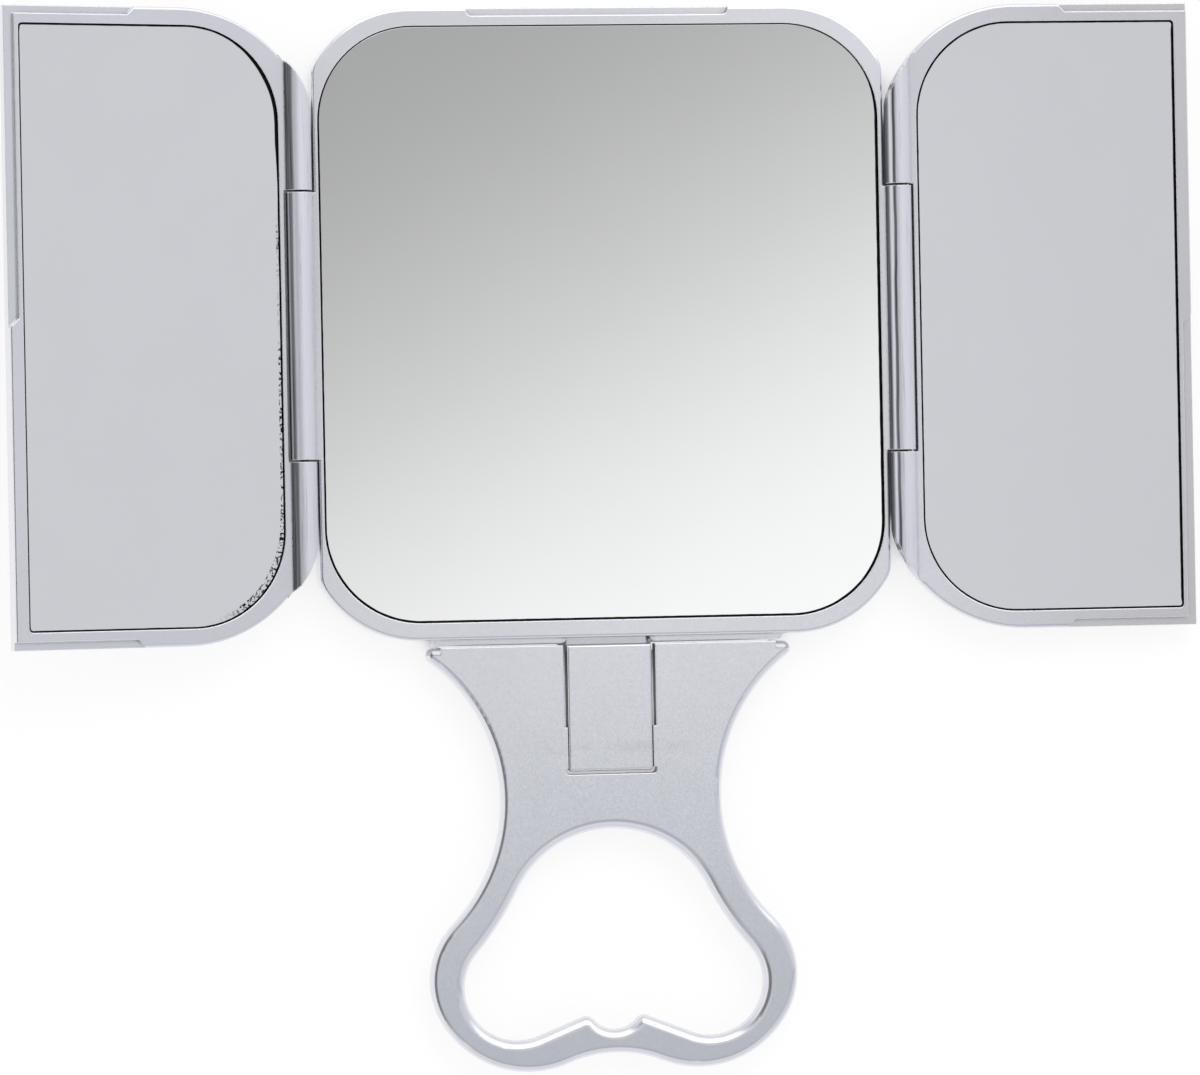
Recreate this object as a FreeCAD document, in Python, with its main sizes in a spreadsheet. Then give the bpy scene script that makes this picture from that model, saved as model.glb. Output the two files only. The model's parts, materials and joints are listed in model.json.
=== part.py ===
import FreeCAD, Part
import math
import os
import re
import Sketcher

# A trifold vanity mirror. A centre frame carries two wing frames on side hinges and, on a
# hinge along its bottom edge, a link and a looped handle. It lies open on its back: +X is to
# the right, +Y to the top of the mirrors, +Z out of the glass. The origin is the middle of the
# centre frame's back face. The left wing stands folded a little towards the viewer.

# Driving dimensions in millimetres and degrees. The sheet Dims holds them, and every sketch
# and feature below is bound to its cells.
SIZES = [
    ("CentreWidth", 139.6, "centre frame, side to side"),
    ("PanelHeight", 152.8, "centre and wing frames, bottom to top"),
    ("CentreThickness", 9.6, "centre frame, back to front"),
    ("CentreCornerRadius", 26.9, "centre frame's outer corners"),
    ("CentreCornerInset", 23.8, "centres of those corners from the frame's sides"),
    ("CentreSideFillet", 7.0, "where a corner of the centre frame meets its straight side"),
    ("SideRim", 1.3, "rim beside the glass, at a hinge side"),
    ("EndRim", 4.25, "rim above and below the glass"),
    ("FreeRim", 3.3, "rim at a wing's free edge"),
    ("GlassThickness", 2.0, "each mirror"),
    ("GlassGap", 0.25, "between a mirror and its rim"),
    ("GlassSink", 0.3, "from the front face down to the mirror"),
    ("GlassCornerRadius", 23.2, "rounded corners of the mirrors"),
    ("GlassFreeRadius", 1.0, "corners of a wing's mirror at its free edge"),
    ("TapeThickness", 1.0, "foam tape behind each mirror"),
    ("TapeWidth", 9.0, "each strip of foam tape"),
    ("BackWall", 2.0, "back wall of the centre frame under its cores"),
    ("CoreLedge", 7.6, "solid border between the glass opening and the cores"),
    ("LandMargin", 0.5, "solid land on each side of a strip of tape"),
    ("CoreRib", 2.0, "rib between two cores of a column"),
    ("ClosedGap", 1.2, "between the free edges of the two wings when both are closed"),
    ("WingThickness", 5.0, "wing frame, back to front"),
    ("WingCornerRadius", 34.2, "wing's outer corners, through its knuckles"),
    ("WingCornerReach", 1.3, "how far their circles reach past the knuckles"),
    ("WingLift", 15.0, "angle at which the left wing stands forward"),
    ("RebateDepth", 1.4, "finger rebates, below the front face"),
    ("RebateReach", 2.0, "finger rebates at top and bottom, inwards"),
    ("RebateWidth", 64.0, "finger rebate at the top of the centre frame"),
    ("RebateSetback", 1.6, "by how much a wing's rebate is shorter than half of that one"),
    ("FreeRebateReach", 2.3, "rebate along half of a wing's free edge, inwards"),
    ("RebateRadius", 1.6, "inner corners of the rebates"),
    ("KnuckleRadius", 3.2, "wing hinge knuckles"),
    ("KnuckleGap", 0.3, "between a knuckle and what turns past it"),
    ("KnuckleRoom", 0.5, "between the centre frame's knuckle and the wing at its ends and side"),
    ("AxisLift", 0.15, "wing hinge axis above the front face"),
    ("FrameKnuckle", 64.4, "centre frame's knuckle of each wing hinge"),
    ("WebRoot", 1.0, "how far a knuckle's web reaches into its frame"),
    ("WingPinRadius", 1.0, "wing hinge pins"),
    ("WingPinGrip", 14.2, "stretch of a wing hinge pin in the frame's knuckle"),
    ("WingPinSetback", 19.8, "outer end of a wing hinge pin from the end of the wing"),
    ("PinClearance", 0.05, "running clearance of a pin, on the radius"),
    ("BarrelRadius", 2.2, "barrels of the link hinge"),
    ("BarrelHalf", 42.8, "half the length of the link hinge's barrels"),
    ("BarrelInset", 0.55, "link hinge axis above the frame's bottom edge"),
    ("LinkPinRadius", 1.0, "link hinge pin"),
    ("LinkPinSetback", 1.8, "ends of the link hinge pin inside the barrels"),
    ("LinkBarrel", 19.8, "barrel of the link"),
    ("LipReach", 1.2, "lips in front of the barrels, below the frame's bottom edge"),
    ("LipSink", 1.2, "from the front face down to these lips"),
    ("LipThickness", 3.4, "lips, back to front"),
    ("LipRadius", 1.2, "corners of the lips"),
    ("LinkWidth", 20.7, "plate of the link"),
    ("LinkEnd", 5.7, "plate of the link, below the handle pivot"),
    ("LinkCornerRadius", 1.0, "lower corners of the link"),
    ("LinkFillet", 0.5, "rounded front and back edges of the link"),
    ("ArmHeel", 4.65, "arm of the link, level part behind the barrel"),
    ("ArmSlope", 4.0, "arm of the link, sloping part"),
    ("PlateThickness", 5.0, "handle and link"),
    ("HandleDrop", 1.8, "from the frame's bottom edge to the handle"),
    ("PivotDepth", 24.9, "handle pivot below the handle's top edge"),
    ("PivotPinRadius", 1.25, "handle pivot pin"),
    ("PivotPinGrip", 11.25, "each end of the pivot pin in the handle"),
    ("NotchGap", 0.9, "between the link and the sides of the handle's notch"),
    ("NotchEndGap", 0.8, "between the link and the end of the notch"),
    ("NotchRadius", 1.0, "lower corners of the notch"),
    ("BossHeight", 10.0, "friction bosses on the sides of the notch"),
    ("BossGap", 0.1, "between a friction boss and the link"),
    ("HandleTopHalf", 49.2, "half the width of the handle at its top edge, before its tips"),
    ("NeckHalf", 27.0, "half the width of the handle's neck"),
    ("NeckDepth", 37.0, "neck below the top edge"),
    ("WaistRadius", 43.0, "sides between the neck and the loop"),
    ("LoopHalf", 45.0, "half the width of the loop"),
    ("LoopSideRadius", 19.6, "outer sides of the loop"),
    ("LobeOffset", 20.8, "lowest points of the loop from the middle"),
    ("HandleLength", 103.2, "handle, top edge to lowest points"),
    ("DipDepth", 99.1, "middle of the loop's lower edge below the top edge"),
    ("HoleTopDepth", 44.7, "top of the loop's hole below the top edge"),
    ("HoleTopRadius", 26.0, "top of the hole"),
    ("HoleFlankRadius", 70.0, "sides of the hole between its top and its lobes, bent inwards"),
    ("HoleLobeOffset", 23.6, "lower lobes of the hole from the middle"),
    ("HoleLobeRadius", 12.9, "lower lobes of the hole"),
    ("HoleDepth", 95.5, "lowest points of the hole below the top edge"),
    ("BumpOffset", 7.1, "bumps beside the nail notch from the middle"),
    ("BumpDepth", 90.1, "tops of the bumps below the top edge"),
    ("NailNotchDepth", 93.4, "bottom of the nail notch below the top edge"),
    ("NailNotchRadius", 6.8, "bottom of the nail notch"),
    ("EdgeFillet", 0.7, "rounded front and back edges of the frames"),
    ("HandleFillet", 1.8, "rounded front and back edges around the handle"),
    ("HoleFillet", 2.3, "rounded front and back edges of the loop's hole"),
    ("TopEdgeHalf", 41.0, "half the length of the handle's square top edge"),
    ("TipFillet", 1.9, "top tips of the handle"),
]
CORE_COLUMNS = 4
CORE_ROWS = 5
BEYOND = 1  # how far a cut reaches past what it cuts, in millimetres
CLOSE = 0.01  # lengths that differ by less are the same

doc = FreeCAD.newDocument("TrifoldVanityMirror")
dims = doc.addObject("Spreadsheet::Sheet", "Dims")
for row, (alias, size, note) in enumerate(SIZES, start=1):
    dims.set(f"A{row}", alias)
    dims.set(f"B{row}", str(size))
    dims.setAlias(f"B{row}", alias)
    dims.set(f"C{row}", note)
doc.recompute()


def bound(text):
    """An expression on the sheet's aliases, as the document's objects read it."""
    return re.sub(r"\b([A-Z][A-Za-z]+)\b", r"Dims.\1", text)


def measure(text):
    return float(dims.evalExpression(bound(text)))


# Places that several pieces share, as expressions on the sheet.
FRONT = "CentreThickness"
TOP = "(PanelHeight / 2)"
BOTTOM = "(-PanelHeight / 2)"
SIDE = "(CentreWidth / 2)"
WING_AXIS_X = "(CentreWidth / 2 + KnuckleRadius + KnuckleGap)"
WING_AXIS_Z = "(CentreThickness + AxisLift)"
WING_SIDE = f"({WING_AXIS_X} + KnuckleRadius + KnuckleGap)"
WING_FREE = f"(2 * {WING_AXIS_X} - ClosedGap / 2)"
GLASS_TOP_Z = f"({FRONT} - GlassSink)"
GLASS_BACK_Z = f"({GLASS_TOP_Z} - GlassThickness)"
FLOOR_Z = f"({GLASS_BACK_Z} - TapeThickness)"
OPENING_HALF_HEIGHT = "(PanelHeight / 2 - EndRim)"
OPENING_HALF_WIDTH = "(CentreWidth / 2 - SideRim)"
WING_OPENING_IN = f"({WING_SIDE} + SideRim)"
WING_OPENING_OUT = f"({WING_FREE} - FreeRim)"
BARREL_Y = f"({BOTTOM} + BarrelInset)"
BARREL_Z = "BarrelRadius"
HANDLE_TOP = f"({BOTTOM} - HandleDrop)"
PLATE_BACK = f"({FRONT} - PlateThickness)"
PLATE_MIDDLE = f"({FRONT} - PlateThickness / 2)"
PIVOT_Y = f"({HANDLE_TOP} - PivotDepth)"
LINK_END = f"({PIVOT_Y} - LinkEnd)"
NOTCH_HALF = "(LinkWidth / 2 + NotchGap)"
LINK_PIN_HALF = "(BarrelHalf - LinkPinSetback)"
PIVOT_PIN_HALF = f"({NOTCH_HALF} + PivotPinGrip)"
CORES_HALF_WIDTH = f"({OPENING_HALF_WIDTH} - CoreLedge)"
CORES_HALF_HEIGHT = f"({OPENING_HALF_HEIGHT} - CoreLedge)"
LAND = "(TapeWidth + 2 * LandMargin)"
CORE_PITCH = f"((2 * {CORES_HALF_WIDTH} + {LAND}) / {CORE_COLUMNS})"
CORE_STEP = f"((2 * {CORES_HALF_HEIGHT} + CoreRib) / {CORE_ROWS})"


class Piece:
    """One sub-part: a body, with short ways to add sketches and features bound to the sheet."""

    def __init__(self, label):
        self.body = doc.addObject("PartDesign::Body", label)
        self.body.Label = label
        self.planes = {o.Role: o for o in self.body.Origin.OriginFeatures}

    def sketch(self, plane, offset="0"):
        sketch = self.body.newObject("Sketcher::SketchObject", "Sketch")
        sketch.AttachmentSupport = (self.planes[plane + "_Plane"], [""])
        sketch.MapMode = "FlatFace"
        sketch.setExpression("AttachmentOffset.Base.z", bound(offset))
        return sketch

    def feature(self, kind, sketch, length=None, reverse=False, middle=False):
        """A Pad or Pocket of a sketch; without a length, a pocket goes through all."""
        before = self.body.Shape.Volume if self.body.Tip else 0
        made = self.body.newObject("PartDesign::" + kind, kind)
        made.Profile = sketch
        made.Reversed = reverse
        made.Midplane = middle
        if length:
            made.setExpression("Length", bound(length))
        else:
            made.Type = "ThroughAll"
        doc.recompute()
        change = self.body.Shape.Volume - before
        if (change > 0) != (kind == "Pad"):
            raise ValueError(f"{self.body.Label}: {made.Name} changes the volume by {change:.3f}")
        return made

    def round_edges(self, radius, chosen):
        """A fillet on the edges of the tip that chosen() picks."""
        tip = self.body.Tip
        names = [f"Edge{n}" for n, e in enumerate(tip.Shape.Edges, start=1) if chosen(e)]
        made = self.body.newObject("PartDesign::Fillet", "Fillet")
        made.Base = (tip, names)
        made.setExpression("Radius", bound(radius))
        doc.recompute()
        return made


def hold(sketch, kind, geometry, point, expression):
    """A distance from the sketch's origin to a point of its geometry, bound to the sheet."""
    index = sketch.addConstraint(
        Sketcher.Constraint(kind, -1, 1, geometry, point, measure(expression))
    )
    sketch.setExpression(f"Constraints[{index}]", bound(expression))


def hold_radius(sketch, geometry, expression):
    index = sketch.addConstraint(Sketcher.Constraint("Radius", geometry, measure(expression)))
    sketch.setExpression(f"Constraints[{index}]", bound(expression))


def circle(sketch, x, y, radius):
    at = FreeCAD.Vector(measure(x), measure(y), 0)
    up = FreeCAD.Vector(0, 0, 1)
    made = sketch.addGeometry(Part.Circle(at, up, measure(radius)))
    hold(sketch, "DistanceX", made, 3, x)
    hold(sketch, "DistanceY", made, 3, y)
    hold_radius(sketch, made, radius)


def polygon(sketch, corners):
    """Straight lines round a loop of corners, each an (x, y) pair of expressions."""
    at = [FreeCAD.Vector(measure(x), measure(y), 0) for x, y in corners]
    lines = [
        sketch.addGeometry(Part.LineSegment(at[n], at[(n + 1) % len(at)]))
        for n in range(len(at))
    ]
    for n, line in enumerate(lines):
        following = lines[(n + 1) % len(lines)]
        sketch.addConstraint(Sketcher.Constraint("Coincident", line, 2, following, 1))
        hold(sketch, "DistanceX", line, 1, corners[n][0])
        hold(sketch, "DistanceY", line, 1, corners[n][1])


def rectangle(sketch, left, right, low, high):
    polygon(sketch, [(left, low), (right, low), (right, high), (left, high)])


def rounded_rectangle(sketch, left, right, low, high, radii):
    """A rectangle with four rounded corners, from low left, counter-clockwise."""
    x = [measure(left), measure(right)]
    y = [measure(low), measure(high)]
    r = [measure(radius) for radius in radii]
    sides = [
        ((x[0] + r[0], y[0]), (x[1] - r[1], y[0])),
        ((x[1], y[0] + r[1]), (x[1], y[1] - r[2])),
        ((x[1] - r[2], y[1]), (x[0] + r[3], y[1])),
        ((x[0], y[1] - r[3]), (x[0], y[0] + r[0])),
    ]
    lines = [
        sketch.addGeometry(
            Part.LineSegment(FreeCAD.Vector(*start, 0), FreeCAD.Vector(*end, 0))
        )
        for start, end in sides
    ]
    centres = [
        (x[0] + r[0], y[0] + r[0]),
        (x[1] - r[1], y[0] + r[1]),
        (x[1] - r[2], y[1] - r[2]),
        (x[0] + r[3], y[1] - r[3]),
    ]
    quarter = math.pi / 2
    for n, centre in enumerate(centres):
        ring = Part.Circle(FreeCAD.Vector(*centre, 0), FreeCAD.Vector(0, 0, 1), r[n])
        start = quarter * (n + 2)
        arc = sketch.addGeometry(Part.ArcOfCircle(ring, start, start + quarter))
        sketch.addConstraint(Sketcher.Constraint("Tangent", lines[n - 1], 2, arc, 1))
        sketch.addConstraint(Sketcher.Constraint("Tangent", arc, 2, lines[n], 1))
        hold_radius(sketch, arc, radii[n])
    for n, level in ((0, low), (2, high)):
        sketch.addConstraint(Sketcher.Constraint("Horizontal", lines[n]))
        hold(sketch, "DistanceY", lines[n], 1, level)
    for n, level in ((1, right), (3, left)):
        sketch.addConstraint(Sketcher.Constraint("Vertical", lines[n]))
        hold(sketch, "DistanceX", lines[n], 1, level)


def corner_waste(sketch, centre_x, centre_y, radius, sign_x, sign_y):
    """What lies outside one rounded corner: an arc and a square that reaches beyond it."""
    x, y = sign_x * measure(centre_x), sign_y * measure(centre_y)
    r = measure(radius)
    over = r + 2 * BEYOND
    points = [
        FreeCAD.Vector(x + sign_x * a, y + sign_y * b, 0)
        for a, b in ((0, r), (0, over), (over, over), (over, 0), (r, 0))
    ]
    lines = [
        sketch.addGeometry(Part.LineSegment(points[n], points[n + 1])) for n in range(4)
    ]
    ring = Part.Circle(FreeCAD.Vector(x, y, 0), FreeCAD.Vector(0, 0, 1), r)
    quadrant = {(1, 1): 0, (-1, 1): 1, (-1, -1): 2, (1, -1): 3}[sign_x, sign_y]
    start = quadrant * math.pi / 2
    arc = sketch.addGeometry(Part.ArcOfCircle(ring, start, start + math.pi / 2))
    for n in range(3):
        sketch.addConstraint(Sketcher.Constraint("Coincident", lines[n], 2, lines[n + 1], 1))
    at_start, at_end = (3, 0) if sign_x == sign_y else (0, 3)
    ends = {0: 1, 3: 2}
    sketch.addConstraint(
        Sketcher.Constraint("Coincident", arc, 1, lines[at_start], ends[at_start])
    )
    sketch.addConstraint(Sketcher.Constraint("Coincident", arc, 2, lines[at_end], ends[at_end]))
    hold(sketch, "DistanceX", arc, 3, f"{sign_x} * {centre_x}")
    hold(sketch, "DistanceY", arc, 3, f"{sign_y} * {centre_y}")
    hold_radius(sketch, arc, radius)


def level_edge(*levels):
    """A test for edges that lie flat at one of these heights."""

    def chosen(edge):
        box = edge.BoundBox
        return box.ZLength < CLOSE and min(abs(box.ZMin - z) for z in levels) < CLOSE

    return chosen


def build_centre_frame():
    frame = Piece("centre_frame")
    plate = frame.sketch("XY")
    rectangle(plate, f"-{SIDE}", SIDE, BOTTOM, TOP)
    frame.feature("Pad", plate, FRONT)

    corners = frame.sketch("XY")
    corner_x = "(CentreWidth / 2 - CentreCornerInset)"
    corner_y = "(PanelHeight / 2 - CentreCornerRadius)"
    for sign_x in (-1, 1):
        for sign_y in (-1, 1):
            corner_waste(corners, corner_x, corner_y, "CentreCornerRadius", sign_x, sign_y)
    frame.feature("Pocket", corners, reverse=True)
    side = measure(SIDE)

    def beside_a_side(edge):
        box = edge.BoundBox
        upright = box.ZLength > measure(FRONT) - CLOSE
        return upright and abs(abs(box.Center.x) - side) < CLOSE

    frame.round_edges("CentreSideFillet", beside_a_side)
    frame.round_edges("EdgeFillet", level_edge(0, measure(FRONT)))

    for sign in (-1, 1):
        barrels = frame.sketch("XZ")
        circle(barrels, f"{sign} * {WING_AXIS_X}", WING_AXIS_Z, "KnuckleRadius")
        frame.feature("Pad", barrels, "FrameKnuckle", middle=True)
        web = frame.sketch("XZ")
        near, far = f"({SIDE} - WebRoot)", WING_AXIS_X
        ends = (near, far) if sign > 0 else (f"-{far}", f"-{near}")
        rectangle(web, *ends, f"({WING_AXIS_Z} - KnuckleRadius)", FRONT)
        frame.feature("Pad", web, "FrameKnuckle", middle=True)

    barrel = frame.sketch("YZ")
    circle(barrel, BARREL_Y, BARREL_Z, "BarrelRadius")
    frame.feature("Pad", barrel, "2 * BarrelHalf", middle=True)
    recess = frame.sketch("XY")
    half = "(LinkBarrel / 2 + KnuckleGap)"
    deep = f"({BARREL_Y} + BarrelRadius + KnuckleGap)"
    rectangle(recess, f"-{half}", half, f"({BOTTOM} - 2 * BarrelRadius)", deep)
    frame.feature("Pocket", recess, "2 * BarrelRadius + KnuckleGap", reverse=True)

    lips = frame.sketch("XY", f"{FRONT} - LipSink - LipThickness")
    low, high = f"({BOTTOM} - LipReach)", f"({BOTTOM} + 2 * LipRadius)"
    for ends in ((half, "BarrelHalf"), ("-BarrelHalf", f"-{half}")):
        rounded_rectangle(lips, *ends, low, high, ["LipRadius"] * 4)
    frame.feature("Pad", lips, "LipThickness")

    opening = frame.sketch("XY", FRONT)
    rounded_rectangle(
        opening,
        f"-{OPENING_HALF_WIDTH}",
        OPENING_HALF_WIDTH,
        f"-{OPENING_HALF_HEIGHT}",
        OPENING_HALF_HEIGHT,
        ["GlassCornerRadius"] * 4,
    )
    frame.feature("Pocket", opening, f"{FRONT} - {FLOOR_Z}")

    cores = frame.sketch("XY", FLOOR_Z)
    for column in range(CORE_COLUMNS):
        left = f"({column} * {CORE_PITCH} - {CORES_HALF_WIDTH})"
        right = f"({left} + {CORE_PITCH} - {LAND})"
        for line in range(CORE_ROWS):
            low = f"({line} * {CORE_STEP} - {CORES_HALF_HEIGHT})"
            rectangle(cores, left, right, low, f"({low} + {CORE_STEP} - CoreRib)")
    frame.feature("Pocket", cores, f"{FLOOR_Z} - BackWall")

    rebate = frame.sketch("XY", FRONT)
    rounded_rectangle(
        rebate,
        "-RebateWidth / 2",
        "RebateWidth / 2",
        f"{TOP} - RebateReach",
        f"{TOP} + RebateReach",
        ["RebateRadius"] * 4,
    )
    frame.feature("Pocket", rebate, "RebateDepth")

    for sign in (-1, 1):
        bore = frame.sketch("XZ")
        circle(bore, f"{sign} * {WING_AXIS_X}", WING_AXIS_Z, "WingPinRadius")
        frame.feature("Pocket", bore, "PanelHeight", middle=True)
    bore = frame.sketch("YZ", f"-{LINK_PIN_HALF}")
    circle(bore, BARREL_Y, BARREL_Z, "LinkPinRadius")
    frame.feature("Pocket", bore, f"2 * {LINK_PIN_HALF} + CentreWidth", reverse=True)
    return frame


def wing_placement(side):
    """Both wings are one moulding. The left one is turned half round and lifted at its hinge."""
    if side == "right":
        return FreeCAD.Placement()
    half_turn = FreeCAD.Placement(
        FreeCAD.Vector(), FreeCAD.Rotation(FreeCAD.Vector(0, 0, 1), 180)
    )
    lift = FreeCAD.Rotation(FreeCAD.Vector(0, 1, 0), measure("WingLift"))
    axis = FreeCAD.Vector(-measure(WING_AXIS_X), 0, measure(WING_AXIS_Z))
    return FreeCAD.Placement(FreeCAD.Vector(), lift, axis) * half_turn


def build_wing_frame(side):
    wing = Piece(f"{side}_wing_frame")
    back = f"({FRONT} - WingThickness)"
    plate = wing.sketch("XY", back)
    rectangle(plate, WING_SIDE, WING_FREE, BOTTOM, TOP)
    wing.feature("Pad", plate, "WingThickness")
    cut_wing_corners(wing)
    level, side_x = level_edge(measure(back), measure(FRONT)), measure(WING_SIDE)
    wing.round_edges("EdgeFillet", lambda e: level(e) and e.BoundBox.XMax > side_x + CLOSE)

    barrel = wing.sketch("XZ")
    circle(barrel, WING_AXIS_X, WING_AXIS_Z, "KnuckleRadius")
    wing.feature("Pad", barrel, "PanelHeight", middle=True)
    web = wing.sketch("XZ")
    low = f"({WING_AXIS_Z} - KnuckleRadius)"
    rectangle(web, WING_AXIS_X, f"({WING_SIDE} + WebRoot)", low, FRONT)
    wing.feature("Pad", web, "PanelHeight", middle=True)

    room = wing.sketch("XY", low)
    half = "(FrameKnuckle / 2 + KnuckleRoom)"
    wall = f"({WING_AXIS_X} + KnuckleRadius + KnuckleRoom)"
    rectangle(room, f"({WING_AXIS_X} - 2 * KnuckleRadius)", wall, f"-{half}", half)
    wing.feature("Pocket", room, "3 * KnuckleRadius", reverse=True)

    cut_wing_corners(wing)

    opening = wing.sketch("XY", FRONT)
    rounded_rectangle(
        opening,
        WING_OPENING_IN,
        WING_OPENING_OUT,
        f"-{OPENING_HALF_HEIGHT}",
        OPENING_HALF_HEIGHT,
        ["GlassCornerRadius", "GlassFreeRadius", "GlassFreeRadius", "GlassCornerRadius"],
    )
    wing.feature("Pocket", opening, f"{FRONT} - {FLOOR_Z}")

    rebates = wing.sketch("XY", FRONT)
    inner = f"({WING_FREE} - RebateWidth / 2 + RebateSetback)"
    slope_end = f"({inner} - RebateReach)"
    beyond = f"({WING_FREE} + {BEYOND})"
    polygon(
        rebates,
        [
            (slope_end, f"{TOP} + {BEYOND}"),
            (slope_end, TOP),
            (inner, f"{TOP} - RebateReach"),
            (beyond, f"{TOP} - RebateReach"),
            (beyond, f"{TOP} + {BEYOND}"),
        ],
    )
    polygon(
        rebates,
        [
            (slope_end, f"{BOTTOM} - {BEYOND}"),
            (slope_end, BOTTOM),
            (inner, f"{BOTTOM} + RebateReach"),
            (f"({WING_FREE} - FreeRebateReach)", f"{BOTTOM} + RebateReach"),
            (f"({WING_FREE} - FreeRebateReach)", "-FreeRebateReach"),
            (WING_FREE, "0"),
            (beyond, "0"),
            (beyond, f"{BOTTOM} - {BEYOND}"),
        ],
    )
    wing.feature("Pocket", rebates, "RebateDepth")

    bore = wing.sketch("XZ")
    circle(bore, WING_AXIS_X, WING_AXIS_Z, "WingPinRadius + PinClearance")
    wing.feature("Pocket", bore, "PanelHeight", middle=True)
    wing.body.Placement = wing_placement(side)
    return wing


def cut_wing_corners(wing):
    """Rounds a wing at its hinge side, and with it the ends of any knuckles there."""
    corners = wing.sketch("XY")
    for sign_y in (-1, 1):
        wing_corner_waste(corners, sign_y)
    wing.feature("Pocket", corners, reverse=True)


def wing_corner_waste(sketch, sign_y):
    """What lies outside a wing's rounded corner, up to the inner side of its knuckles."""
    r = measure("WingCornerRadius")
    x = measure(f"{WING_AXIS_X} - KnuckleRadius - WingCornerReach + WingCornerRadius")
    y = sign_y * (measure(TOP) - r)
    inner = measure(f"{WING_AXIS_X} - KnuckleRadius") - BEYOND
    above = sign_y * (measure(TOP) + BEYOND)
    foot = y + sign_y * math.sqrt(r**2 - (x - inner) ** 2)
    start = FreeCAD.Vector(x, y + sign_y * r, 0)
    end = FreeCAD.Vector(inner, foot, 0)
    part_way = FreeCAD.Vector(start + end) / 2 - FreeCAD.Vector(x, y, 0)
    middle = FreeCAD.Vector(x, y, 0) + part_way.normalize() * r
    sketch.addGeometry(Part.Arc(start, middle, end))
    path = [end, FreeCAD.Vector(inner, above, 0), FreeCAD.Vector(x, above, 0), start]
    for one, other in zip(path, path[1:]):
        sketch.addGeometry(Part.LineSegment(one, other))


def build_centre_glass():
    glass = Piece("centre_mirror_glass")
    outline = glass.sketch("XY", GLASS_BACK_Z)
    half_width = f"({OPENING_HALF_WIDTH} - GlassGap)"
    half_height = f"({OPENING_HALF_HEIGHT} - GlassGap)"
    radius = "GlassCornerRadius - GlassGap"
    rounded_rectangle(
        outline, f"-{half_width}", half_width, f"-{half_height}", half_height, [radius] * 4
    )
    glass.feature("Pad", outline, "GlassThickness")
    return glass


def build_wing_glass(side):
    glass = Piece(f"{side}_mirror_glass")
    outline = glass.sketch("XY", GLASS_BACK_Z)
    half_height = f"({OPENING_HALF_HEIGHT} - GlassGap)"
    rounded_rectangle(
        outline,
        f"({WING_OPENING_IN} + GlassGap)",
        f"({WING_OPENING_OUT} - GlassGap)",
        f"-{half_height}",
        half_height,
        [
            "GlassCornerRadius - GlassGap",
            "GlassFreeRadius - GlassGap",
            "GlassFreeRadius - GlassGap",
            "GlassCornerRadius - GlassGap",
        ],
    )
    glass.feature("Pad", outline, "GlassThickness")
    glass.body.Placement = wing_placement(side)
    return glass


def build_tape(label, middles, placement):
    """Upright strips of foam tape behind a mirror, one at each middle."""
    tape = doc.addObject("Part::Compound", label + "_strips")
    strips = []
    for n, middle in enumerate(middles):
        strip = doc.addObject("Part::Box", f"{label}_strip_{n + 1}")
        strip.setExpression("Length", bound("TapeWidth"))
        strip.setExpression("Width", bound(f"2 * {CORES_HALF_HEIGHT}"))
        strip.setExpression("Height", bound("TapeThickness"))
        strip.setExpression("Placement.Base.x", bound(f"{middle} - TapeWidth / 2"))
        strip.setExpression("Placement.Base.y", bound(f"-{CORES_HALF_HEIGHT}"))
        strip.setExpression("Placement.Base.z", bound(FLOOR_Z))
        strips.append(strip)
    tape.Links = strips
    tape.Label = label
    tape.Placement = placement
    return tape


def build_centre_tape():
    middles = [
        f"({n} * {CORE_PITCH} - {CORES_HALF_WIDTH} - {LAND} / 2)" for n in range(1, CORE_COLUMNS)
    ]
    return build_tape("centre_glass_tape", middles, FreeCAD.Placement())


def build_wing_tape(side):
    middles = [
        f"({WING_OPENING_IN} + CoreLedge + TapeWidth)",
        f"({WING_OPENING_OUT} - CoreLedge - TapeWidth)",
    ]
    return build_tape(f"{side}_glass_tape", middles, wing_placement(side))


def build_pin(label, radius, length, base, rotation):
    """A plain round pin, from its lower end along the direction that +Z is turned to."""
    pin = doc.addObject("Part::Cylinder", label)
    pin.Label = label
    pin.setExpression("Radius", bound(radius))
    pin.setExpression("Height", bound(length))
    pin.Placement = FreeCAD.Placement(FreeCAD.Vector(), rotation)
    for letter, place in zip("xyz", base):
        pin.setExpression(f"Placement.Base.{letter}", bound(place))
    return pin


def build_wing_pins(side):
    sign = 1 if side == "right" else -1
    along_y = FreeCAD.Rotation(FreeCAD.Vector(1, 0, 0), -90)
    inner = "(FrameKnuckle / 2 - WingPinGrip)"
    outer = f"({TOP} - WingPinSetback)"
    starts = {"upper": inner, "lower": f"-{outer}"}
    return [
        build_pin(
            f"{side}_hinge_pin_{end}",
            "WingPinRadius",
            f"{outer} - {inner}",
            (f"{sign} * {WING_AXIS_X}", start, WING_AXIS_Z),
            along_y,
        )
        for end, start in starts.items()
    ]


def build_cross_pin(label, radius, half, y, z):
    along_x = FreeCAD.Rotation(FreeCAD.Vector(0, 1, 0), 90)
    return build_pin(label, radius, f"2 * {half}", (f"-{half}", y, z), along_x)


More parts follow.
